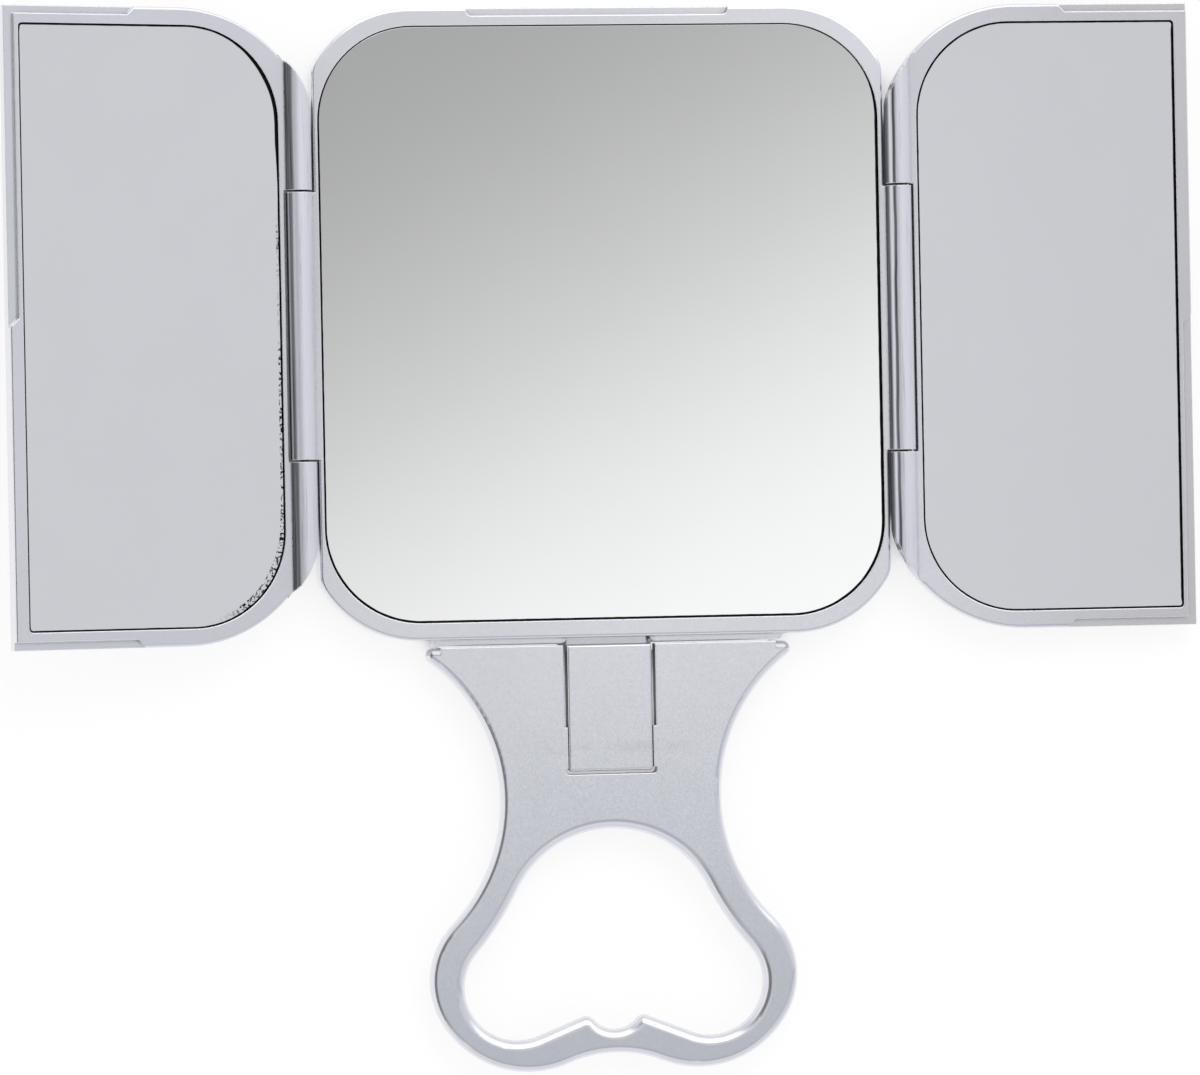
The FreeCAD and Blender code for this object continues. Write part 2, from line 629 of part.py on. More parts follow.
def build_link():
    link = Piece("hinge_link")
    plate = link.sketch("XY", PLATE_BACK)
    rectangle(plate, "-LinkWidth / 2", "LinkWidth / 2", LINK_END, HANDLE_TOP)
    link.feature("Pad", plate, "PlateThickness")
    low, high, back = measure(LINK_END), measure(HANDLE_TOP), measure(PLATE_BACK)
    level = level_edge(back, measure(FRONT))

    def lower_corner(edge):
        return edge.BoundBox.ZLength > CLOSE and abs(edge.BoundBox.YMax - low) < CLOSE

    def clear_of_the_arm(edge):
        box = edge.BoundBox
        return level(edge) and (box.ZMin > back + CLOSE or box.Center.y < high - CLOSE)

    link.round_edges("LinkCornerRadius", lower_corner)
    link.round_edges("LinkFillet", clear_of_the_arm)

    barrel = link.sketch("YZ")
    circle(barrel, BARREL_Y, BARREL_Z, "BarrelRadius")
    link.feature("Pad", barrel, "LinkBarrel", middle=True)
    arm = link.sketch("YZ")
    heel = f"({BARREL_Y} - ArmHeel)"
    polygon(
        arm,
        [
            (BARREL_Y, "0"),
            (heel, "0"),
            (f"({heel} - ArmSlope)", PLATE_BACK),
            (f"({heel} - ArmSlope)", PLATE_MIDDLE),
            (HANDLE_TOP, PLATE_MIDDLE),
            (HANDLE_TOP, "2 * BarrelRadius"),
            (BARREL_Y, "2 * BarrelRadius"),
        ],
    )
    link.feature("Pad", arm, "LinkBarrel", middle=True)
    bores = [
        (BARREL_Y, BARREL_Z, "LinkPinRadius + PinClearance"),
        (PIVOT_Y, PLATE_MIDDLE, "PivotPinRadius + PinClearance"),
    ]
    for y, z, radius in bores:
        bore = link.sketch("YZ")
        circle(bore, y, z, radius)
        link.feature("Pocket", bore, "2 * LinkWidth", middle=True)
    return link


def arc(centre, start, end):
    """The shorter arc round a centre, between two points on it."""
    out = (start - centre).normalize() + (end - centre).normalize()
    middle = centre + out.normalize() * (start - centre).Length
    return Part.Arc(start, middle, end)


def touch(centre, radius, other, other_radius):
    """Where two circles touch from outside; a negative radius is the circle inside the other."""
    return centre + (other - centre) * (radius / (radius + other_radius))


def outside(centre, radius, other, other_radius, between):
    """The middle of a circle that touches two circles from outside, to the left of the way."""
    way = other - centre
    near, far, apart = radius + between, other_radius + between, way.Length
    lean = math.degrees(math.acos((near**2 + apart**2 - far**2) / (2 * near * apart)))
    turn = FreeCAD.Rotation(FreeCAD.Vector(0, 0, 1), lean)
    return centre + turn.multVec(way).normalize() * near


def tangent(centre, radius, other, other_radius):
    """Ends of a straight line along two circles, to the left of the way from one to the other.

    A negative radius puts that circle on the line's other side.
    """
    way = other - centre
    lean = math.degrees(math.acos((radius - other_radius) / way.Length))
    normal = FreeCAD.Rotation(FreeCAD.Vector(0, 0, 1), lean).multVec(way).normalize()
    return centre + normal * radius, other + normal * other_radius


def handle_point(offset, depth):
    return FreeCAD.Vector(offset, measure(HANDLE_TOP) - depth, 0)


def handle_outline():
    """The right half of the handle's outer edge, from its top tip down to the middle."""
    top_half, neck, neck_depth = (measure(n) for n in ("HandleTopHalf", "NeckHalf", "NeckDepth"))
    length, dip = measure("HandleLength"), measure("DipDepth")
    side_radius, lobe_x = measure("LoopSideRadius"), measure("LobeOffset")
    flare, waist_radius = top_half - neck, measure("WaistRadius")
    flare_radius = (flare**2 + neck_depth**2) / (2 * flare)
    side_x = measure("LoopHalf") - side_radius
    across = neck + waist_radius - side_x
    side_depth = neck_depth + math.sqrt((waist_radius + side_radius) ** 2 - across**2)
    in_x, in_y = side_x - lobe_x, side_depth - length
    lobe_radius = (in_x**2 + in_y**2 - side_radius**2) / (-2 * (in_y + side_radius))
    rise = dip - length + lobe_radius
    dip_radius = (lobe_x**2 + rise**2 - lobe_radius**2) / (2 * (lobe_radius - rise))
    flare_at = handle_point(neck + flare_radius, neck_depth)
    waist_at = handle_point(neck + waist_radius, neck_depth)
    side_at = handle_point(side_x, side_depth)
    lobe_at = handle_point(lobe_x, length - lobe_radius)
    dip_at = handle_point(0, dip + dip_radius)
    narrowest = handle_point(neck, neck_depth)
    waist_end = touch(waist_at, waist_radius, side_at, side_radius)
    side_end = side_at + (side_at - lobe_at).normalize() * side_radius
    lobe_end = touch(lobe_at, lobe_radius, dip_at, dip_radius)
    return [
        arc(flare_at, handle_point(top_half, 0), narrowest),
        arc(waist_at, narrowest, waist_end),
        arc(side_at, waist_end, side_end),
        arc(lobe_at, side_end, lobe_end),
        arc(dip_at, lobe_end, handle_point(0, dip)),
    ]


def handle_hole():
    """The right half of the loop's hole, from its top down to the nail notch."""
    top_radius, lobe_radius = measure("HoleTopRadius"), measure("HoleLobeRadius")
    bump_x, bump_depth = measure("BumpOffset"), measure("BumpDepth")
    notch_radius, notch_depth = measure("NailNotchRadius"), measure("NailNotchDepth")
    top_at = handle_point(0, measure("HoleTopDepth") + top_radius)
    lobe_depth = measure("HoleDepth") - lobe_radius
    lobe_at = handle_point(measure("HoleLobeOffset"), lobe_depth)
    flank_radius = measure("HoleFlankRadius")
    flank_at = outside(top_at, top_radius, lobe_at, lobe_radius, flank_radius)
    flank_start = touch(top_at, top_radius, flank_at, flank_radius)
    flank_end = touch(lobe_at, lobe_radius, flank_at, flank_radius)
    rise = bump_depth - notch_depth + notch_radius
    bump_radius = (bump_x**2 + rise**2 - notch_radius**2) / (2 * (notch_radius - rise))
    bump_at = handle_point(bump_x, bump_depth + bump_radius)
    notch_at = handle_point(0, notch_depth - notch_radius)
    bump_start, lobe_end = tangent(bump_at, bump_radius, lobe_at, -lobe_radius)
    bump_end = touch(bump_at, bump_radius, notch_at, notch_radius)
    lowest = handle_point(measure("HoleLobeOffset"), measure("HoleDepth"))
    return [
        arc(top_at, handle_point(0, measure("HoleTopDepth")), flank_start),
        arc(flank_at, flank_start, flank_end),
        arc(lobe_at, flank_end, lowest),
        arc(lobe_at, lowest, lobe_end),
        Part.LineSegment(lobe_end, bump_start),
        arc(bump_at, bump_start, bump_end),
        arc(notch_at, bump_end, handle_point(0, notch_depth)),
    ]


def add_both_halves(sketch, curves):
    """Adds the right half of an outline, and the same curves turned over to the left."""
    for curve in curves:
        middle = curve.value((curve.FirstParameter + curve.LastParameter) / 2)
        for sign in (1, -1):
            start, half_way, end = [
                FreeCAD.Vector(sign * point.x, point.y, 0)
                for point in (curve.StartPoint, middle, curve.EndPoint)
            ]
            if isinstance(curve, Part.LineSegment):
                sketch.addGeometry(Part.LineSegment(start, end))
            else:
                sketch.addGeometry(Part.Arc(start, half_way, end))


def build_handle():
    handle = Piece("handle")
    outline = handle.sketch("XY", PLATE_BACK)
    tip = handle_point(measure("HandleTopHalf"), 0)
    outline.addGeometry(Part.LineSegment(FreeCAD.Vector(-tip.x, tip.y, 0), tip))
    add_both_halves(outline, handle_outline())
    add_both_halves(outline, handle_hole())
    handle.feature("Pad", outline, "PlateThickness")
    tip_y, tip_x = measure(HANDLE_TOP), measure("HandleTopHalf")

    def at_a_tip(edge):
        box = edge.BoundBox
        upright = box.ZLength > measure("PlateThickness") - CLOSE
        at_side = abs(abs(box.Center.x) - tip_x) < CLOSE
        return upright and at_side and abs(box.YMax - tip_y) < CLOSE

    handle.round_edges("TipFillet", at_a_tip)
    level = level_edge(measure(PLATE_BACK), measure(FRONT))
    hole_top, hole_end = (handle_point(0, measure(n)).y for n in ("HoleTopDepth", "HoleDepth"))
    hole_half = measure("HoleLobeOffset + HoleLobeRadius")

    def in_the_hole(edge):
        box = edge.BoundBox
        between = box.YMax < hole_top + CLOSE and box.YMin > hole_end - CLOSE
        return between and max(-box.XMin, box.XMax) < hole_half + CLOSE

    handle.round_edges("HandleFillet", lambda e: level(e) and not in_the_hole(e))
    handle.round_edges("HoleFillet", lambda e: level(e) and in_the_hole(e))
    top_edge = handle.sketch("XY", PLATE_BACK)
    low = f"({HANDLE_TOP} - 2 * HandleFillet)"
    rectangle(top_edge, "-TopEdgeHalf", "TopEdgeHalf", low, HANDLE_TOP)
    handle.feature("Pad", top_edge, "PlateThickness")

    notch = handle.sketch("XY", PLATE_BACK)
    low, high = f"({LINK_END} - NotchEndGap)", f"({HANDLE_TOP} + 2 * NotchRadius)"
    rounded_rectangle(notch, f"-{NOTCH_HALF}", NOTCH_HALF, low, high, ["NotchRadius"] * 4)
    handle.feature("Pocket", notch, reverse=True)
    boss = handle.sketch("XY", PLATE_BACK)
    face = "(LinkWidth / 2 + BossGap)"
    root = f"({NOTCH_HALF} + WebRoot)"
    span = (f"({PIVOT_Y} - BossHeight / 2)", f"({PIVOT_Y} + BossHeight / 2)")
    rectangle(boss, face, root, *span)
    rectangle(boss, f"-{root}", f"-{face}", *span)
    handle.feature("Pad", boss, "PlateThickness")
    bore = handle.sketch("YZ", f"-{PIVOT_PIN_HALF}")
    circle(bore, PIVOT_Y, PLATE_MIDDLE, "PivotPinRadius")
    handle.feature("Pocket", bore, f"{PIVOT_PIN_HALF} + HandleTopHalf", reverse=True)
    return handle


def build_all():
    pieces = [build_centre_frame().body, build_centre_glass().body, build_centre_tape()]
    for side in ("left", "right"):
        pieces += [build_wing_frame(side).body, build_wing_glass(side).body]
        pieces += [build_wing_tape(side), *build_wing_pins(side)]
    pieces += [build_link().body, build_handle().body]
    pieces.append(
        build_cross_pin("link_hinge_pin", "LinkPinRadius", LINK_PIN_HALF, BARREL_Y, BARREL_Z)
    )
    pieces.append(
        build_cross_pin(
            "handle_pivot_pin", "PivotPinRadius", PIVOT_PIN_HALF, PIVOT_Y, PLATE_MIDDLE
        )
    )
    doc.recompute()
    return pieces


def check(pieces):
    """Stops if an object failed, or if a sub-part's shape is empty or not valid."""
    for thing in doc.Objects:
        if {"Invalid", "Error"} & set(thing.State):
            raise ValueError(f"{thing.Name} ({thing.Label}) failed: {thing.State}")
    for piece in pieces:
        if piece.Shape.isNull() or not piece.Shape.isValid() or not piece.Shape.Solids:
            raise ValueError(f"{piece.Label} has no valid shape")


def write(pieces):
    os.makedirs("parts", exist_ok=True)
    for piece in pieces:
        piece.Shape.exportStep(f"parts/{piece.Label}.step")
        box = piece.Shape.BoundBox
        print(
            f"{piece.Label}: {len(piece.Shape.Solids)} solid(s), {piece.Shape.Volume:.1f} mm3, "
            f"x {box.XMin:.2f}..{box.XMax:.2f}, y {box.YMin:.2f}..{box.YMax:.2f}, "
            f"z {box.ZMin:.2f}..{box.ZMax:.2f}"
        )


pieces = build_all()
check(pieces)
write(pieces)
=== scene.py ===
import json
import math

import bmesh
import bpy
from mathutils import Euler, Matrix, Vector


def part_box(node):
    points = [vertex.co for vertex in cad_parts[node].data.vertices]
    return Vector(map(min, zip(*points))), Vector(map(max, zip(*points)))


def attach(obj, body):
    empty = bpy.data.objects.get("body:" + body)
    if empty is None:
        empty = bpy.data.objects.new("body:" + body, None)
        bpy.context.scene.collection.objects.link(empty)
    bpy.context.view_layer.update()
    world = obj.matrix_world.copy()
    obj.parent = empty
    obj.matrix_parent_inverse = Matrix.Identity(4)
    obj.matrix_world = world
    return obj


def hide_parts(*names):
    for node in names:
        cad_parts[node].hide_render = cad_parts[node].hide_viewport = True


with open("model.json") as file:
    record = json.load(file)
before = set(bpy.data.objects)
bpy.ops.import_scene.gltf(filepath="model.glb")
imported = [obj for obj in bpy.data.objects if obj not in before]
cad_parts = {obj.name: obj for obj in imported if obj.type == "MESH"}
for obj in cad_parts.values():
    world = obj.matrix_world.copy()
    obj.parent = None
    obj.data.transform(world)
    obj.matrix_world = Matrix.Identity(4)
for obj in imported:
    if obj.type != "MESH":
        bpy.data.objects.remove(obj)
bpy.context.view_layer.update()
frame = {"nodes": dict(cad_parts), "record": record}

# A trifold vanity mirror on a pale table. The frames, link, handle, tapes and pins are the
# loaded parts with new finishes. The three mirrors are made here, with seamed black edges.

mm = 0.001
scene = bpy.context.scene
nodes = frame["nodes"]
sides = ("left", "right")
print("frame loaded:", len(nodes), "nodes")


def newTree(name, owner=None):
    material = owner or bpy.data.materials.new(name)
    material.use_nodes = True
    material.node_tree.nodes.clear()
    return material, material.node_tree


def add(tree, kind, inputs=None, **settings):
    node = tree.nodes.new(kind)
    for key, value in settings.items():
        setattr(node, key, value)
    for key, value in (inputs or {}).items():
        if isinstance(value, bpy.types.NodeSocket):
            tree.links.new(value, node.inputs[key])
        else:
            node.inputs[key].default_value = value
    return node


def calc(tree, operation, *values):
    inputs = dict(enumerate(values))
    return add(tree, "ShaderNodeMath", inputs, operation=operation).outputs[0]


def vectorCalc(tree, operation, *values):
    inputs = dict(enumerate(values))
    return add(tree, "ShaderNodeVectorMath", inputs, operation=operation).outputs[0]


def scaleVector(tree, vector, scale):
    inputs = {0: vector, "Scale": scale}
    return add(tree, "ShaderNodeVectorMath", inputs, operation="SCALE").outputs[0]


def dot(tree, one, other):
    inputs = {0: one, 1: other}
    return add(tree, "ShaderNodeVectorMath", inputs, operation="DOT_PRODUCT").outputs["Value"]


def smooth(tree, value, low, high, toLow=0.0, toHigh=1.0):
    inputs = {"Value": value, "From Min": low, "From Max": high, "To Min": toLow, "To Max": toHigh}
    return add(tree, "ShaderNodeMapRange", inputs, interpolation_type="SMOOTHSTEP").outputs[0]


def span(tree, value, low, high, before, after):
    # 1 from low to high, fading to 0 over the distances before and after them. Four numbers in
    # brackets further down are such a span.
    rise = smooth(tree, value, low - before, low)
    return calc(tree, "MULTIPLY", rise, smooth(tree, value, high + after, high))


def mixValue(tree, factor, one, other):
    return add(tree, "ShaderNodeMix", {0: factor, 2: one, 3: other}).outputs[0]


def mixColor(tree, factor, one, other):
    node = add(tree, "ShaderNodeMix", {0: factor, 6: one, 7: other}, data_type="RGBA")
    return node.outputs[2]


def gray(value, tint=(1.0, 1.0, 1.0)):
    return (value * tint[0], value * tint[1], value * tint[2], 1.0)


def noise(tree, position, size, detail=2.0, roughness=0.5):
    inputs = {"Vector": position, "Scale": 1 / size, "Detail": detail, "Roughness": roughness}
    return add(tree, "ShaderNodeTexNoise", inputs).outputs[0]


def spots(tree, position, size, radius, share):
    cells = add(tree, "ShaderNodeTexVoronoi", {"Vector": position, "Scale": 1 / size})
    near = smooth(tree, cells.outputs["Distance"], radius / size, 0.7 * radius / size)
    picked = add(tree, "ShaderNodeSeparateColor", {0: cells.outputs["Color"]}).outputs[0]
    return calc(tree, "MULTIPLY", near, calc(tree, "LESS_THAN", picked, share))


def openness(tree, distance, samples=6):
    # 1 out in the open, and less in a gap that is narrow for this distance.
    node = add(tree, "ShaderNodeAmbientOcclusion", {"Distance": distance}, samples=samples)
    return node.outputs["AO"]


def pointOnPiece(tree):
    position = add(tree, "ShaderNodeTexCoord").outputs["Object"]
    x, y = add(tree, "ShaderNodeSeparateXYZ", {0: position}).outputs[:2]
    return position, x, y


def surface(tree, inputs):
    shader = add(tree, "ShaderNodeBsdfPrincipled", inputs)
    add(tree, "ShaderNodeOutputMaterial", {"Surface": shader.outputs[0]})


# The wings' hinge axes, the radius of their knuckles and how far the left wing leans forward.
hinge = {"x": 73.3 * mm, "z": 9.75 * mm, "radius": 3.2 * mm, "lean": math.radians(15)}
slit = {  # between the frame and the handle, on each side of the link
    "top": -75.6 * mm,
    "bottom": -79.4 * mm,
    "from": 11.5 * mm,
    "to": 40.5 * mm,
    "besideLink": 1.5 * mm,  # how wide its painted shade is next to the link
    "fade": 0.4 * mm,
}

# Painted shade and painted reflection of the dark rims beside each hinge barrel, with faint
# scratches: a broad band on the left hinge, and narrow lines on the right one. Places are distances
# outwards from the hinge's axis.
barrelShadeAndWear = {
    "color": (0.045, 0.046, 0.052, 1.0),
    "grain": 0.35 * mm,
    "drawn": 0.012,  # the grain's width over its length along the barrel
    "knuckle": 32.1 * mm,  # half the length of the frame's own knuckle
    "knuckleFade": 0.3 * mm,
    "band": {"onWing": 1.35 * mm, "onFrame": 1.7 * mm, "fade": 0.8 * mm},  # where it starts
    "glint": (2.4 * mm, 2.65 * mm),  # painted highlight: the frame's knuckle shines through the painted band here
    "glintLevel": 0.7,
    "line": {"at": -1.45 * mm, "half": 0.15 * mm, "faded": 0.5 * mm},
    "wander": {"size": 30 * mm, "by": 0.7 * mm},  # how far the line strays
    "rim": (-2.3 * mm, -2.8 * mm),
    "side": (2.75 * mm, 2.9 * mm),  # painted shade: the frame's knuckle is dark from here outwards
    "fine": 0.78,  # how dark the marks stay where the grain is palest
    "scratch": 0.3,
}


def hingeShadeAndWear(tree, position, x, y):
    # Painted shade and reflection of the neighbouring rims darken the barrels, with faint
    # scratches.
    shadeAndWear = barrelShadeAndWear
    outward = calc(tree, "SUBTRACT", calc(tree, "ABSOLUTE", x), hinge["x"])
    apart = calc(tree, "ABSOLUTE", outward)
    onBarrel = smooth(tree, apart, 1.04 * hinge["radius"], hinge["radius"])
    drawn = vectorCalc(tree, "MULTIPLY", position, (1.0, shadeAndWear["drawn"], 1.0))
    streak = noise(tree, drawn, shadeAndWear["grain"], 3.0, 0.6)
    along = calc(tree, "ABSOLUTE", y)
    onFrame = smooth(tree, along, shadeAndWear["knuckle"] + shadeAndWear["knuckleFade"], shadeAndWear["knuckle"])

    band = shadeAndWear["band"]
    start = calc(tree, "MULTIPLY_ADD", onFrame, band["onFrame"] - band["onWing"], band["onWing"])
    past = calc(tree, "SUBTRACT", outward, start)
    ragged = calc(tree, "MULTIPLY_ADD", streak, band["fade"], past)
    broad = smooth(tree, ragged, 0.0, band["fade"])
    glint = calc(tree, "MULTIPLY", smooth(tree, outward, *shadeAndWear["glint"]), onFrame)
    kept = calc(tree, "MULTIPLY_ADD", glint, -shadeAndWear["glintLevel"], 1.0)
    broad = calc(tree, "MULTIPLY", broad, kept)

    line, wander = shadeAndWear["line"], shadeAndWear["wander"]
    stray = noise(tree, position, wander["size"], 2.0)
    stray = calc(tree, "MULTIPLY_ADD", stray, 2 * wander["by"], -wander["by"])
    fromLine = calc(tree, "SUBTRACT", calc(tree, "ADD", outward, stray), line["at"])
    narrow = smooth(tree, calc(tree, "ABSOLUTE", fromLine), line["faded"], line["half"])
    narrow = calc(tree, "MAXIMUM", narrow, smooth(tree, outward, *shadeAndWear["rim"]))

    dark = mixValue(tree, calc(tree, "LESS_THAN", x, 0.0), narrow, broad)
    dark = calc(tree, "MULTIPLY", dark, smooth(tree, streak, 0.3, 0.62, 1.0, shadeAndWear["fine"]))
    scratch = calc(tree, "MULTIPLY", smooth(tree, streak, 0.58, 0.68), shadeAndWear["scratch"])
    dark = calc(tree, "MAXIMUM", dark, scratch)
    side = calc(tree, "MULTIPLY", smooth(tree, outward, *shadeAndWear["side"]), onFrame)
    dark = calc(tree, "MAXIMUM", dark, side)
    return calc(tree, "MULTIPLY", dark, onBarrel), onBarrel


silverPaint = {
    "color": (0.79, 0.793, 0.84, 1.0),
    "warmer": {"color": (0.70, 0.694, 0.71, 1.0), "x": (85 * mm, 135 * mm)},  # on the right wing
    "metallic": 0.78,
    "roughness": 0.14,
    "barrelRoughness": 0.48,
    "roughnessWornAndShaded": 0.4,  # added where it is chipped or in the painted shade of a gap
    "coat": 0.2,
    "coatRoughness": 0.08,
    "flake": {"size": 0.24 * mm, "tilt": 0.018},
    "peel": {"size": 3.0 * mm, "strength": 0.035, "depth": 0.01 * mm},
    "mottle": {"size": 1.1 * mm, "shade": (0.996, 1.003), "roughness": 0.006},
    "cloud": {"size": 22 * mm, "shade": (0.985, 1.01)},
    "topLight": {"x": (72 * mm, 68 * mm), "y": (25 * mm, 72 * mm), "by": 0.2},  # painted light: the frame's top is paler
    "dentShade": {  # painted shade of faint dents over the pivot pin
        "y": -103.1 * mm, "wide": 2.4 * mm, "reach": 24 * mm, "size": 6 * mm, "depth": 0.06,
    },
    "tips": {  # painted shade dimming the highlight at the ends of the handle's top edge
        "x": (41 * mm, 44 * mm, 0.2 * mm, 2 * mm),
        "y": (-79.9 * mm, -78.6 * mm, 0.2 * mm, 0.3 * mm),
        "dimBy": 0.32,
    },
    "edge": 0.4 * mm,  # how wide the light catches a sharp edge
    "edgeLight": 0.85,  # painted highlight: how much paler the paint is along an edge
    "chip": {"color": (0.085, 0.083, 0.08, 1.0), "size": 0.8 * mm, "moreOnBarrel": 0.05},
    "speck": {"size": 17 * mm, "radius": 0.16 * mm, "share": 0.3},
    "gapShade": {"color": gray(0.012), "reach": 2.0 * mm},  # painted shade: how deep it reaches into a gap
}


def paintNormal(tree, position, rounded):
    # Faint waves over the rounded edges, and each flake tilted its own way.
    peel, flake = silverPaint["peel"], silverPaint["flake"]
    bump = {"Height": noise(tree, position, peel["size"], 1.0), "Normal": rounded}
    bump = {**bump, "Strength": peel["strength"], "Distance": peel["depth"]}
    bump = add(tree, "ShaderNodeBump", bump).outputs[0]
    cells = add(tree, "ShaderNodeTexVoronoi", {"Vector": position, "Scale": 1 / flake["size"]})
    tilt = vectorCalc(tree, "SUBTRACT", cells.outputs["Color"], (0.5, 0.5, 0.5))
    tilted = vectorCalc(tree, "ADD", bump, scaleVector(tree, tilt, flake["tilt"]))
    return vectorCalc(tree, "NORMALIZE", tilted)


def paintShade(tree, position, sideways, y, mottle):
    # Cloudy, with painted light on the frame's top, painted shade over dents above the pivot pin
    # and painted shade dulling the tips.
    paint = silverPaint
    shade = smooth(tree, mottle, 0.25, 0.75, *paint["mottle"]["shade"])
    # Painted light: paler paint towards the frame's top.
    topLight = smooth(tree, sideways, *paint["topLight"]["x"])
    topLight = calc(tree, "MULTIPLY", topLight, smooth(tree, y, *paint["topLight"]["y"]))
    topLight = calc(tree, "MULTIPLY_ADD", topLight, paint["topLight"]["by"], 1.0)
    shade = calc(tree, "MULTIPLY", shade, topLight)
    cloud = noise(tree, position, paint["cloud"]["size"], 2.0)
    cloud = smooth(tree, cloud, 0.3, 0.7, *paint["cloud"]["shade"])
    shade = calc(tree, "MULTIPLY", shade, cloud)

    # Painted shade over faint dents above the pivot pin.
    dentShade = paint["dentShade"]
    fromPin = calc(tree, "ABSOLUTE", calc(tree, "SUBTRACT", y, dentShade["y"]))
    along = smooth(tree, sideways, dentShade["reach"], 0.5 * dentShade["reach"])
    near = calc(tree, "MULTIPLY", smooth(tree, fromPin, dentShade["wide"], 0.0), along)
    uneven = smooth(tree, noise(tree, position, dentShade["size"]), 0.4, 0.6, 0.0, dentShade["depth"])
    darker = calc(tree, "MULTIPLY", near, uneven)
    # Painted shade dimming the highlight at the ends of the handle's top edge.
    tips = paint["tips"]
    onTip = calc(tree, "MULTIPLY", span(tree, sideways, *tips["x"]), span(tree, y, *tips["y"]))
    darker = calc(tree, "MULTIPLY_ADD", onTip, tips["dimBy"], darker)
    return calc(tree, "MULTIPLY", shade, calc(tree, "SUBTRACT", 1.0, darker))


def paintGapShade(tree, sideways, y):
    # Painted shade: black in every narrow gap but the slit, where it is only beside the link.
    gapShade = smooth(tree, openness(tree, silverPaint["gapShade"]["reach"]), 0.58, 0.28)
    inSlit = span(tree, y, slit["bottom"], slit["top"], slit["fade"], slit["fade"])
    half = slit["besideLink"] / 2
    besideLink = calc(tree, "COMPARE", sideways, slit["from"] - half, half)
    inSlit = calc(tree, "MULTIPLY", inSlit, calc(tree, "SUBTRACT", 1.0, besideLink))
    return calc(tree, "MULTIPLY", gapShade, calc(tree, "SUBTRACT", 1.0, inSlit))


def makeSilverPaint():
    paint = silverPaint
    material, tree = newTree("satinSilverPaint")
    position, x, y = pointOnPiece(tree)
    sideways = calc(tree, "ABSOLUTE", x)
    rounded = add(tree, "ShaderNodeBevel", {"Radius": paint["edge"]}, samples=6).outputs[0]
    mottle = noise(tree, position, paint["mottle"]["size"], 3.0, 0.6)
    warmer = paint["warmer"]
    tone = mixColor(tree, smooth(tree, x, *warmer["x"]), paint["color"], warmer["color"])
    color = scaleVector(tree, tone, paintShade(tree, position, sideways, y, mottle))

    # Painted shade and reflection on the hinge barrels, painted highlights on the edges, chips and
    # specks, painted shade in the gaps.
    shadeAndScratches, onBarrel = hingeShadeAndWear(tree, position, x, y)
    color = mixColor(tree, shadeAndScratches, color, barrelShadeAndWear["color"])
    turned = dot(tree, add(tree, "ShaderNodeNewGeometry").outputs["Normal"], rounded)
    # Painted highlight: paler paint along the rounded edges.
    edgeLit = calc(tree, "MULTIPLY", smooth(tree, turned, 0.995, 0.93), paint["edgeLight"])
    color = mixColor(tree, edgeLit, color, gray(1.0))
    chip, speck = paint["chip"], paint["speck"]
    flaking = noise(tree, position, chip["size"], 4.0, 0.65)
    flaking = calc(tree, "MULTIPLY_ADD", onBarrel, chip["moreOnBarrel"], flaking)
    onEdge = smooth(tree, turned, 0.98, 0.84)
    worn = calc(tree, "MULTIPLY", onEdge, smooth(tree, flaking, 0.62, 0.67))
    specks = spots(tree, position, speck["size"], speck["radius"], speck["share"])
    worn = calc(tree, "MAXIMUM", worn, specks)
    color = mixColor(tree, worn, color, chip["color"])
    # Painted shade in the narrow gaps.
    gapShade = paintGapShade(tree, sideways, y)
    color = mixColor(tree, gapShade, color, paint["gapShade"]["color"])

    base, change = paint["roughness"], paint["mottle"]["roughness"]
    rough = smooth(tree, mottle, 0.3, 0.7, base + change, base - change)
    rough = calc(tree, "MULTIPLY_ADD", onBarrel, paint["barrelRoughness"] - base, rough)
    wornAndShaded = calc(tree, "MAXIMUM", worn, gapShade)
    surface(tree, {
        "Base Color": color,
        "Metallic": paint["metallic"],
        "Roughness": calc(tree, "MULTIPLY_ADD", wornAndShaded, paint["roughnessWornAndShaded"], rough),
        "Normal": paintNormal(tree, position, rounded),
        "Coat Weight": paint["coat"],
        "Coat Roughness": paint["coatRoughness"],
    })
    return material


mirrorGlass = {
    "color": (0.90, 0.905, 0.91),
    "bareAndShaded": gray(0.012),  # where the silver has gone, and painted shade of the seam along each rim
    "seam": 0.15 * mm,
    "corner": 23.0 * mm,
    "freeCorner": 0.8 * mm,
    "fromAxis": (5.05 * mm, 69.15 * mm),  # a wing's mirror starts and ends here
    "line": {  # widths of the black line along each rim, in millimetres; it is partly painted shade of the seam
        "left": {"left": 0.02, "right": 0.22, "top": 0.26, "bottom": 0.2},
        "centre": {"left": 0.24, "right": 0.5, "top": 0.0, "bottom": 0.34},
        "right": {"left": 0.22, "right": 0.42, "top": 0.26, "bottom": 0.22},
    },
    "reach": {  # how far down its left and right sides the line at the ends goes on
        "left": (2.5 * mm, 24 * mm),
        "centre": (24 * mm, 24 * mm),
        "right": (24 * mm, 2.5 * mm),
    },
    "blend": 10 * mm,  # half the width over which one side's line turns into the other's
    "swell": {  # the line is thicker below one upper corner
        "on": "left", "x": 20 * mm, "y": (46 * mm, 60 * mm, 12 * mm, 11 * mm), "by": 0.42 * mm,
    },
    "wander": {"size": 3 * mm, "by": 0.08 * mm},
    "blur": 0.03 * mm,
    "creep": {  # how far in from the rim the silver is eaten away by the hinge
        "on": "left",
        "depth": (0.95 * mm, 1.805 * mm),
        "fade": 0.3 * mm,
        "deepens": (-40 * mm, -60 * mm),
        "ends": (27 * mm, 20 * mm),
        "x": (-100 * mm, -88 * mm),
        "stain": 0.7 * mm,
        "patch": 12 * mm,
    },
    "speck": {"size": 23 * mm, "radius": 0.2 * mm, "share": 0.3, "depth": 0.55},
    "haze": {"size": 18 * mm, "shade": 0.988, "roughness": (0.008, 0.03)},
    "bareAndShadedRoughness": 0.3,
}


